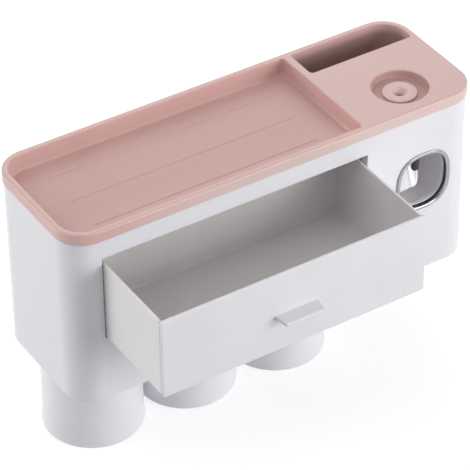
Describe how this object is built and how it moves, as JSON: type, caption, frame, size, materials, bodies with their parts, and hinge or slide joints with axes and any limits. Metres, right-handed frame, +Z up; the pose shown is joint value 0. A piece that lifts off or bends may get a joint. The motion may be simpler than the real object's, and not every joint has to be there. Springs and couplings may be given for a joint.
{
  "type": "wall toothbrush holder",
  "caption": "Wall-hung box with a tray lid, a pull-out drawer, a push-lever toothpaste dispenser behind a window, a brush rack and cups hanging upside down on magnets.",
  "frame": {"origin": "centre of the adhesive pad's back face, on the wall", "axes": "+X along the wall to the right as seen from the room, +Y into the wall, +Z up"},
  "size_m": [0.32, 0.187, 0.2074],
  "materials": {
    "adhesive_foam": "matt foam",
    "clear_plastic": "clear gloss",
    "white_abs": "satin moulded",
    "drawer_abs": "satin moulded",
    "pink_abs": "matt moulded",
    "pink_silicone": "matt",
    "clear_silicone": "satin",
    "cup_plastic": "satin moulded",
    "chrome": "plated",
    "grey_liner": "satin",
    "translucent_plastic": "gloss",
    "nozzle_rubber": "satin",
    "screw_steel": "bright",
    "magnet": "nickel plated"
  },
  "bodies": {
    "wall_mount": {"adhesive_pad": "adhesive_foam", "wall_plate": "clear_plastic"},
    "housing": {"housing_shell": "white_abs", "drawer_deck": "white_abs", "bay_divider": "white_abs", "drawer_guide_left": "white_abs", "drawer_guide_right": "white_abs", "brush_rack": "white_abs", "cup_seat_1": "white_abs", "cup_seat_2": "white_abs", "cup_seat_3": "white_abs", "seat_magnet_1": "magnet", "seat_magnet_2": "magnet", "seat_magnet_3": "magnet", "deck_screw_1": "screw_steel", "deck_screw_2": "screw_steel", "deck_screw_3": "screw_steel", "deck_screw_4": "screw_steel", "rack_screw_1": "screw_steel", "rack_screw_2": "screw_steel", "rack_screw_3": "screw_steel", "window_bezel": "chrome", "dispenser_liner": "grey_liner", "inlet_throat": "white_abs", "pump_bulb": "clear_silicone", "channel_head": "white_abs", "nozzle": "nozzle_rubber", "dispenser_frame": "white_abs", "frame_screw_left": "screw_steel", "frame_screw_right": "screw_steel", "bottom_cover": "white_abs", "cover_screw_1": "screw_steel", "cover_screw_2": "screw_steel", "lever_pin": "screw_steel", "lever_spring": "screw_steel"},
    "lid": {"tray_lid": "pink_abs", "slot_pocket": "pink_abs", "inlet_deck": "pink_abs", "inlet_cup": "pink_abs", "inlet_seal": "pink_silicone"},
    "drawer": {"drawer_box": "drawer_abs", "drawer_front": "drawer_abs"},
    "left_cup": {"cup_1": "cup_plastic", "cup_magnet_1": "magnet", "magnet_cap_1": "cup_plastic"},
    "middle_cup": {"cup_2": "cup_plastic", "cup_magnet_2": "magnet", "magnet_cap_2": "cup_plastic"},
    "right_cup": {"cup_3": "cup_plastic", "cup_magnet_3": "magnet", "magnet_cap_3": "cup_plastic"},
    "lever": {"push_lever": "translucent_plastic"}
  },
  "joints": [
    {"name": "housing_lift", "type": "slide", "parent": "wall_mount", "child": "housing", "axis": [0, 0, 1], "range_m": [0, 0.0055]},
    {"name": "lid_lift", "type": "slide", "parent": "housing", "child": "lid", "axis": [0, 0, 1], "range_m": [0, 0.08]},
    {"name": "drawer_slide", "type": "slide", "parent": "housing", "child": "drawer", "axis": [0, -1, 0], "range_m": [-0.0715, 0.025]},
    {"name": "left_cup_pull", "type": "slide", "parent": "housing", "child": "left_cup", "axis": [0, 0, -1], "range_m": [0, 0.05]},
    {"name": "middle_cup_pull", "type": "slide", "parent": "housing", "child": "middle_cup", "axis": [0, 0, -1], "range_m": [0, 0.05]},
    {"name": "right_cup_pull", "type": "slide", "parent": "housing", "child": "right_cup", "axis": [0, 0, -1], "range_m": [0, 0.05]},
    {"name": "lever_swing", "type": "hinge", "parent": "housing", "child": "lever", "pos_m": [0.1156, -0.0815, 0.066], "axis": [1, 0, 0], "range_deg": [0, 16], "stiffness_Nm_per_rad": 0.03, "springref_deg": -17.19, "deforming": ["pump_bulb"]}
  ]
}
